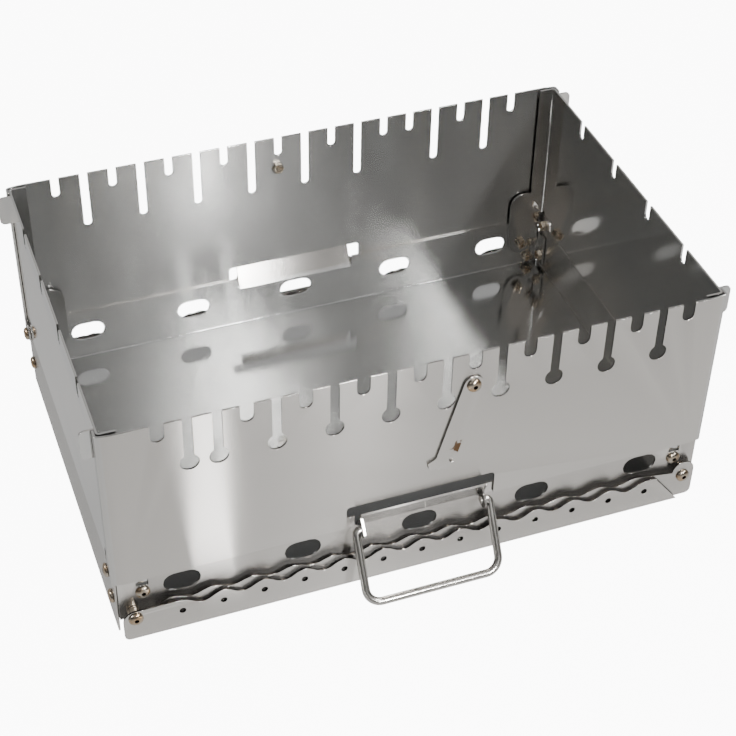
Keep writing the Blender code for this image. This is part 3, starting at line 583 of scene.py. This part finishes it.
def sheet_material(name, satin, outer_face=None, spot=None, rim=0.0, reach=DARK_REACH, strip_shade=0.0):
    """Rolled stainless sheet, ground or bright; with an outer face it is ground outside and
    brighter inside. A spot is the centre of a dark brown spot of painted shade. Rim, reach and the
    strip shade say where its cut edges and the front strips' hidden faces get painted shade, as in
    the group for them."""
    sheet = settings().sheet
    material, tree, shader, vector, normal = new_metal(name)
    grain = group_node(tree, "rolled_grain", Vector=vector)
    wear_and_shade = group_node(tree, "edge_wear_and_hollow_shade")
    satin_colour, mirror_colour = tuple(sheet.satin_colour), tuple(sheet.mirror_colour)
    bright_edge = tuple(min(1.0, part * EDGE_SHINE) for part in satin_colour)
    if outer_face:
        side = outer_mask(tree, vector, outer_face)
        base = mix_colour(tree, side, mirror_colour, satin_colour)
        facing_up = math_node(tree, "GREATER_THAN", split(tree, normal)["Z"], FACES_UP)
        inner = math_node(tree, "MULTIPLY_ADD", facing_up,
                          sheet.mirror_roughness - sheet.inner_roughness, sheet.inner_roughness)
        apart = math_node(tree, "SUBTRACT", sheet.satin_roughness, inner)
        rough = math_node(tree, "MULTIPLY_ADD", side, apart, inner)
    else:
        base = satin_colour if satin else mirror_colour
        rough = sheet.satin_roughness if satin else sheet.mirror_roughness
    colour_so_far = mix_colour(tree, wear_and_shade["Mask"], base, bright_edge)
    if satin:
        # Painted shade: the cut edges that face sideways or down, and the front strips' faces
        # turned to the wall, take the dark cut edge colour; on the cut edges it also stands for the
        # darker cut steel.
        cut = group_node(tree, "cut_edge_shade", Vector=vector, Normal=normal,
                         Rim=rim, Reach=reach, Grime=strip_shade)
        colour_so_far = mix_colour(tree, cut["Mask"], colour_so_far, tuple(sheet.cut_edge_and_shade_colour))
    if spot:
        # Painted shade: a ragged dark brown spot on the lever's foot, where its hook's notch lies
        # in shade.
        tint = group_node(tree, "notch_shade", Vector=vector, Centre=spot)
        colour_so_far = mix_colour(tree, tint["Mask"], colour_so_far, tuple(sheet.notch_shade_colour))
    tree.links.new(colour_so_far, shader.inputs["Base Color"])
    patch = math_node(tree, "MULTIPLY", grain["Patch"], PATCH_DEPTH)
    spread = math_node(tree, "ADD", math_node(tree, "ADD", rough, patch), -PATCH_DEPTH * NOISE_MEAN)
    add_scuffs(tree, shader, vector, spread, SHEET_SCUFFS, SHEET_SCUFF_SCALE)
    shader.inputs["Anisotropic"].default_value = GROUND_ANISOTROPY if satin else BRIGHT_ANISOTROPY
    shader.inputs["Anisotropic Rotation"].default_value = QUARTER_TURN
    add_bump(tree, shader, grain["Height"], GROUND_BUMP if satin else BRIGHT_BUMP, GRAIN_DEPTH)
    return material


def wire_material():
    """Drawn steel wire with scuffs."""
    wire = settings().wire
    material, tree, shader, vector, _ = new_metal("drawn_wire_steel")
    shader.inputs["Base Color"].default_value = (*wire.colour, 1)
    add_scuffs(tree, shader, vector, wire.roughness, WIRE_SCUFFS, WIRE_SCUFF_SCALE)
    height = noise_node(tree, vector, scale=900.0, detail=2.0)
    add_bump(tree, shader, height, WIRE_BUMP, WIRE_GRAIN_DEPTH)
    return material


def fastener_material():
    """Steel with a patchy straw and brown heat tint."""
    fastener = settings().fastener
    material, tree, shader, vector, _ = new_metal("heat_tinted_steel")
    tint = ramp(tree, noise_node(tree, vector, scale=160.0), low=0.38, gain=3.0)
    body = mix_colour(tree, tint, tuple(fastener.steel_colour), tuple(fastener.tint_colour))
    wear_and_shade = group_node(tree, "edge_wear_and_hollow_shade")
    colour_so_far = mix_colour(tree, wear_and_shade["Mask"], body, tuple(fastener.worn_colour))
    # Painted shade in the sockets and hollows, found by pointiness.
    shade_painted = mix_colour(tree, wear_and_shade["Hollow shade"], colour_so_far, tuple(fastener.hollow_shade_colour))
    tree.links.new(shade_painted, shader.inputs["Base Color"])
    add_scuffs(tree, shader, vector, fastener.roughness, FASTENER_SCUFFS, FASTENER_SCUFF_SCALE)
    return material


class GRILL_OT_sheet_metal(bpy.types.Operator):
    """Finish the tray, walls, end plates, leg strips and lever with worn edges and rolled steel"""

    bl_idname = "grill.sheet_metal"
    bl_label = "Finish the sheet metal"

    def execute(self, context):
        sheet = settings().sheet
        wall_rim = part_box("long_wall_front")[1].z - SHEET
        by_first_word = {
            "long": sheet_material("long_wall_steel", True, WALL_FACE, rim=wall_rim),
            "tray": sheet_material("tray_steel", True, FLANGE_FACE),
            # The leg strips get painted shade on all their cut edges and, in front, on the faces
            # turned to the wall.
            "leg": sheet_material("leg_strip_steel", True, rim=EVERYWHERE, reach=EVERYWHERE,
                                  strip_shade=STRIP_SHADE),
            "latch": sheet_material("lever_steel", True, spot=LEVER_NOTCH_SHADE),
        }
        by_slot = {"satin_sheet": sheet_material("ground_steel", True),
                   "bright_sheet": sheet_material("bright_steel", False)}
        for node in SHEET_NODES:
            piece = copy_of(node, node + "_sheet")
            round_edges(piece, sheet.edge_round, EDGE_ANGLE, sheet.edge_segments)
            hand_over(piece, node, by_first_word.get(node.split("_")[0], by_slot[SLOT_OF[node]]))
        return {"FINISHED"}


def pull(distance, direction):
    """Pushes the selected ring or face on by a distance."""
    bpy.ops.mesh.extrude_region_move(TRANSFORM_OT_translate={"value": Vector(direction) * distance})


def bend(corner):
    """Bends the selected ring on by a quarter turn about a corner, downwards from +X."""
    bpy.ops.mesh.spin(steps=settings().wire.bend_steps, angle=-QUARTER, center=corner,
                      axis=(0, 1, 0))


def bent_wire(name, start, half, leg):
    """A wire bail that hangs from its two ends on the X axis, bent from one end to the other."""
    wire = settings().wire
    end, corner = wire.end_bend, wire.corner
    deselect_all()
    bpy.ops.mesh.primitive_circle_add(vertices=wire.ring_points, radius=wire.radius,
                                      fill_type="NOTHING", location=(start, 0, 0),
                                      rotation=(0, QUARTER, 0))
    piece = name_piece(name)
    apply_place()
    bpy.ops.object.mode_set(mode="EDIT")
    bpy.ops.mesh.select_all(action="SELECT")
    pull(half - end - start, (1, 0, 0))
    bend((half - end, 0, -end))
    pull(leg - end - corner, (0, 0, -1))
    bend((half - corner, 0, corner - leg))
    pull(2 * (half - corner), (-1, 0, 0))
    bend((corner - half, 0, corner - leg))
    pull(leg - end - corner, (0, 0, 1))
    bend((end - half, 0, -end))
    pull(half - end - start, (1, 0, 0))
    bpy.ops.mesh.select_all(action="SELECT")
    bpy.ops.mesh.remove_doubles(threshold=WELD)
    bpy.ops.mesh.fill_holes(sides=0)
    bpy.ops.mesh.normals_make_consistent(inside=False)
    bpy.ops.object.mode_set(mode="OBJECT")
    round_edges(piece, wire.end_round, WIRE_END_ANGLE, wire.end_segments)
    return piece


class GRILL_OT_handles(bpy.types.Operator):
    """Bend the two wire handles"""

    bl_idname = "grill.handles"
    bl_label = "Bend the wire handles"

    def execute(self, context):
        material = wire_material()
        radius = settings().wire.radius
        for node in ("handle_front", "handle_back"):
            pivot = JOINT_PLACES[node + "_swing"]
            low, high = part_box(node)
            outward = math.copysign(1, pivot.y)
            reach = max(abs(low.y), abs(high.y)) - radius - abs(pivot.y)
            leg = math.hypot(reach, pivot.z - low.z - radius)
            ends_at = min(abs(vertex.co.x) for vertex in frame["nodes"][node].data.vertices
                          if vertex.co.z > pivot.z - radius)
            piece = bent_wire(node + "_wire", ends_at, high.x - radius, leg)
            take_up(piece)
            piece.rotation_euler.x = math.asin(outward * reach / leg)
            piece.location = pivot
            apply_place()
            hand_over(piece, node, material)
        return {"FINISHED"}


def turned(name, profile, points, twist=0):
    """A solid piece along +Z, pushed up ring by ring from a disc through (radius, height) steps."""
    deselect_all()
    radius, height = profile[0]
    bpy.ops.mesh.primitive_circle_add(vertices=points, radius=radius, fill_type="NGON",
                                      location=(0, 0, height), rotation=(0, 0, twist))
    piece = name_piece(name)
    apply_place()
    bpy.ops.object.mode_set(mode="EDIT")
    bpy.ops.mesh.select_all(action="SELECT")
    for next_radius, next_height in profile[1:]:
        pull(next_height - height, (0, 0, 1))
        growth = next_radius / radius
        bpy.ops.transform.resize(value=(growth, growth, 1), center_override=ORIGIN)
        radius, height = next_radius, next_height
    bpy.ops.mesh.select_all(action="SELECT")
    bpy.ops.mesh.normals_make_consistent(inside=False)
    bpy.ops.object.mode_set(mode="OBJECT")
    return piece


def combine(piece, cutter, operation):
    """Cuts a piece with a cutter, or keeps what they share, and deletes the cutter."""
    take_up(piece)
    boolean = piece.modifiers.new("cut", "BOOLEAN")
    boolean.operation = operation
    boolean.object = cutter
    bpy.ops.object.modifier_apply(modifier=boolean.name)
    discard(cutter)
    return take_up(piece)


def bored(piece, radius, height):
    """Drills a piece through along Z."""
    drill = turned("drill", [(radius, -height), (radius, 2 * height)], ROUND)
    return combine(piece, drill, "DIFFERENCE")


def thread(radius):
    """The ring steps of a thread from its chamfered tip."""
    fastener = settings().fastener
    root, pitch = radius - fastener.thread_depth, fastener.thread_pitch
    steps = [(root - fastener.chamfer, 0)]
    for ridge in range(fastener.thread_ridges):
        for side, share in ((root, GROOVE_END), (radius, CREST_START), (radius, CREST_END)):
            steps.append((side, (ridge + share) * pitch))
    return steps


def screw_master(length, collar):
    """A button-head screw along +Z from its tip, with a hexagon socket, and with a collar of that
    height under its head."""
    fastener = settings().fastener
    radius, chamfer, depth = fastener.shank_radius, fastener.chamfer, fastener.head_height
    base = length - depth
    steps = thread(radius)
    if collar:
        steps += [(radius, base - collar), (fastener.collar_radius - chamfer, base - collar),
                  (fastener.collar_radius, base - collar + chamfer), (fastener.collar_radius, base)]
    else:
        steps.append((radius, base))
    rim = 2 * chamfer
    steps += [(fastener.head_radius - chamfer, base), (fastener.head_radius, base + chamfer),
              (fastener.head_radius, base + rim)]
    for ring in range(1, DOME_RINGS + 1):
        angle = ring / DOME_RINGS * DOME_ANGLE
        rise = (depth - rim) * math.sin(angle) / math.sin(DOME_ANGLE)
        steps.append((fastener.head_radius * math.cos(angle), base + rim + rise))
    piece = turned("screw_master", steps, ROUND)
    socket = turned("socket", [(fastener.socket_radius, length - fastener.socket_depth),
                               (fastener.socket_radius, length + depth)], HEXAGON)
    return combine(piece, socket, "DIFFERENCE")


def nut_master(height):
    """A hexagon nut along +Z with its corners chamfered at 30 degrees and a plain bore."""
    fastener = settings().fastener
    low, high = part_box("latch_nut")
    corner, flat = (high.x - low.x) / 2, (high.z - low.z) / 2
    slope = (corner - flat) / math.sqrt(3)
    wide = corner + fastener.chamfer
    piece = turned("nut_master", [(corner, 0), (corner, height)], HEXAGON, QUARTER)
    cone = turned("chamfers", [(flat, 0), (wide, slope), (wide, height - slope), (flat, height)],
                  FINE_ROUND)
    combine(piece, cone, "INTERSECT")
    return bored(piece, fastener.shank_radius, height)


def spacer_master(node, height):
    """A plain round spacer along +Z with chamfered rims."""
    fastener = settings().fastener
    low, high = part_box(node)
    radius, chamfer = (high.x - low.x) / 2, fastener.chamfer
    piece = turned("spacer_master", [(radius - chamfer, 0), (radius, chamfer),
                                     (radius, height - chamfer), (radius - chamfer, height)], ROUND)
    return bored(piece, fastener.spacer_bore, height)


def head_direction(node):
    """The way that a fastener's head points, read from its name."""
    words = node.split("_")
    if words[0] in ("hinge", "corner"):
        return Vector((-1 if "left" in words else 1, 0, 0))
    if words[0] == "latch":
        return Vector((0, 1 if "stud" in words else -1, 0))
    return Vector((0, -1 if "front" in words else 1, 0))


def new_master(kind, node, length, collar):
    """The first fastener of its kind and length, along +Z from the origin."""
    if kind == "nut":
        master = nut_master(length)
    elif kind == "spacer":
        master = spacer_master(node, length)
    else:
        master = screw_master(length, collar)
    bpy.ops.object.shade_smooth_by_angle(angle=FASTENER_SMOOTH_ANGLE)
    return master


class GRILL_OT_fasteners(bpy.types.Operator):
    """Make the screws, nuts and spacers"""

    bl_idname = "grill.fasteners"
    bl_label = "Make the fasteners"

    def execute(self, context):
        material = fastener_material()
        masters = {}
        for node in SCREW_NODES + NUT_NODES + SPACER_NODES:
            low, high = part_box(node)
            outward = head_direction(node)
            length = abs((high - low).dot(outward))
            kind = "nut" if node in NUT_NODES else "spacer" if node in SPACER_NODES else "screw"
            collar = settings().fastener.collar_height if node == "latch_stud" else 0
            key = (kind, round(length, LENGTH_DIGITS), collar)
            if key not in masters:
                masters[key] = new_master(kind, node, length, collar)
            take_up(masters[key])
            bpy.ops.object.duplicate()
            piece = name_piece(node + "_finished")
            seat = Matrix.Translation((low + high) / 2 - outward * length / 2)
            turn = Vector((0, 0, 1)).rotation_difference(outward).to_matrix().to_4x4()
            piece.matrix_world = seat @ turn
            apply_place()
            hand_over(piece, node, material)
        for master in masters.values():
            discard(master)
        return {"FINISHED"}


def floor_material():
    """A pale matt floor that only the camera sees glow, so that it shows no shadow."""
    stage = settings().stage
    material = bpy.data.materials.new("pale_floor")
    material.use_nodes = True
    tree = material.node_tree
    shader = tree.nodes["Principled BSDF"]
    shader.inputs["Base Color"].default_value = (*stage.floor_colour, 1)
    shader.inputs["Roughness"].default_value = FLOOR_ROUGHNESS
    seen = tree.nodes.new("ShaderNodeLightPath").outputs["Is Camera Ray"]
    tree.links.new(mix_colour(tree, seen, (0, 0, 0), (1, 1, 1)), shader.inputs["Emission Color"])
    shader.inputs["Emission Strength"].default_value = stage.floor_glow
    return material


def shade_sky(tree, background, horizon, overhead, pale):
    """Surroundings that are dark near the ground, bright in front and overhead, with a low bright
    backdrop behind. The camera sees them pale all over."""
    toward = split(tree, tree.nodes.new("ShaderNodeTexCoord").outputs["Generated"])
    height = math_node(tree, "MULTIPLY", toward["Z"], SKY_RISE, clamp=True)
    behind = math_node(tree, "MULTIPLY", toward["Y"], SKY_FADE_BEHIND, clamp=True)
    lit = math_node(tree, "MULTIPLY", height, math_node(tree, "SUBTRACT", 1.0, behind))
    edge = math_node(tree, "MULTIPLY", toward["Y"], BACKDROP_SLOPE)
    below_edge = math_node(tree, "SUBTRACT", edge, toward["Z"])
    backdrop = math_node(tree, "MULTIPLY_ADD", below_edge, BACKDROP_SHARPNESS, BACKDROP_EDGE,
                         clamp=True)
    shaded = mix_colour(tree, math_node(tree, "MAXIMUM", lit, backdrop), horizon, overhead)
    seen = tree.nodes.new("ShaderNodeLightPath").outputs["Is Camera Ray"]
    tree.links.new(mix_colour(tree, seen, shaded, pale), background.inputs["Color"])


def add_light(name, place, aim, width, height, power):
    """A soft rectangular light that faces its aim and that the camera doesn't see."""
    bpy.ops.object.light_add(type="AREA", location=place)
    light = bpy.context.active_object
    light.name = name
    light.data.shape = "RECTANGLE"
    light.data.size = width
    light.data.size_y = height
    light.data.energy = power
    light.visible_camera = False
    light.rotation_euler = (Vector(aim) - Vector(place)).to_track_quat("-Z", "Y").to_euler()
    return light


def place_camera():
    """The photograph's camera, from its azimuth, elevation, roll, distance and focal length."""
    azimuth, elevation = CAMERA_AZIMUTH, CAMERA_ELEVATION
    ahead = Vector((math.sin(azimuth) * math.cos(elevation),
                    math.cos(azimuth) * math.cos(elevation), -math.sin(elevation)))
    level_right = Vector((math.cos(azimuth), -math.sin(azimuth), 0))
    level_up = level_right.cross(ahead)
    right = level_right * math.cos(CAMERA_ROLL) + level_up * math.sin(CAMERA_ROLL)
    up = level_up * math.cos(CAMERA_ROLL) - level_right * math.sin(CAMERA_ROLL)
    place = (Vector(CAMERA_TARGET) - ahead * CAMERA_DISTANCE
             + right * CAMERA_SHIFT_RIGHT + up * CAMERA_SHIFT_UP)
    bpy.ops.object.camera_add(location=place)
    camera = bpy.context.active_object
    camera.name = "photo_camera"
    camera.data.sensor_width = SENSOR_WIDTH
    camera.data.lens = CAMERA_FOCAL_PIXELS / PHOTO_SIZE * SENSOR_WIDTH
    camera.rotation_euler = Matrix((right, up, -ahead)).transposed().to_euler()
    bpy.context.scene.camera = camera


class GRILL_OT_stage(bpy.types.Operator):
    """Lay the floor and set up the light and the camera"""

    bl_idname = "grill.stage"
    bl_label = "Set up the stage"

    def execute(self, context):
        stage = settings().stage
        deselect_all()
        floor_height = LEG_PIVOT.z - LEG_REACH - stage.floor_gap
        bpy.ops.mesh.primitive_plane_add(size=stage.floor_size, location=(0, 0, floor_height))
        floor = bpy.context.active_object
        floor.name = "floor"
        floor.data.materials.append(floor_material())
        world = bpy.data.worlds.new("soft_sky")
        world.use_nodes = True
        background = world.node_tree.nodes["Background"]
        background.inputs["Strength"].default_value = stage.sky_strength
        shade_sky(world.node_tree, background, tuple(stage.horizon_colour),
                  tuple(stage.sky_colour), pale=(stage.floor_glow / stage.sky_strength,) * 3)
        context.scene.world = world
        lights = {name: add_light(name, *rest) for name, *rest in LIGHTS}
        lights["front_card"].rotation_euler = (math.pi, 0, CARD_SLANT)
        place_camera()
        return {"FINISHED"}


class GRILL_PT_panel(bpy.types.Panel):
    """Lists the grill's operators"""

    bl_idname = "GRILL_PT_panel"
    bl_label = "Folding skewer grill"
    bl_space_type = "VIEW_3D"
    bl_region_type = "UI"
    bl_category = "Grill"

    def draw(self, context):
        for operator in OPERATORS:
            self.layout.operator(operator.bl_idname)


OPERATORS = (GRILL_OT_sheet_metal, GRILL_OT_handles, GRILL_OT_fasteners, GRILL_OT_stage)
CLASSES = (GrillSheetSettings, GrillWireSettings, GrillFastenerSettings, GrillStageSettings,
           GrillSettings, *OPERATORS, GRILL_PT_panel)


def register():
    for kind in CLASSES:
        bpy.utils.register_class(kind)
    bpy.types.Scene.grill = PointerProperty(type=GrillSettings)


def unregister():
    del bpy.types.Scene.grill
    for kind in reversed(CLASSES):
        bpy.utils.unregister_class(kind)


def main():
    register()
    bpy.ops.grill.sheet_metal()
    bpy.ops.grill.handles()
    bpy.ops.grill.fasteners()
    bpy.ops.grill.stage()


if __name__ == "__main__":
    main()
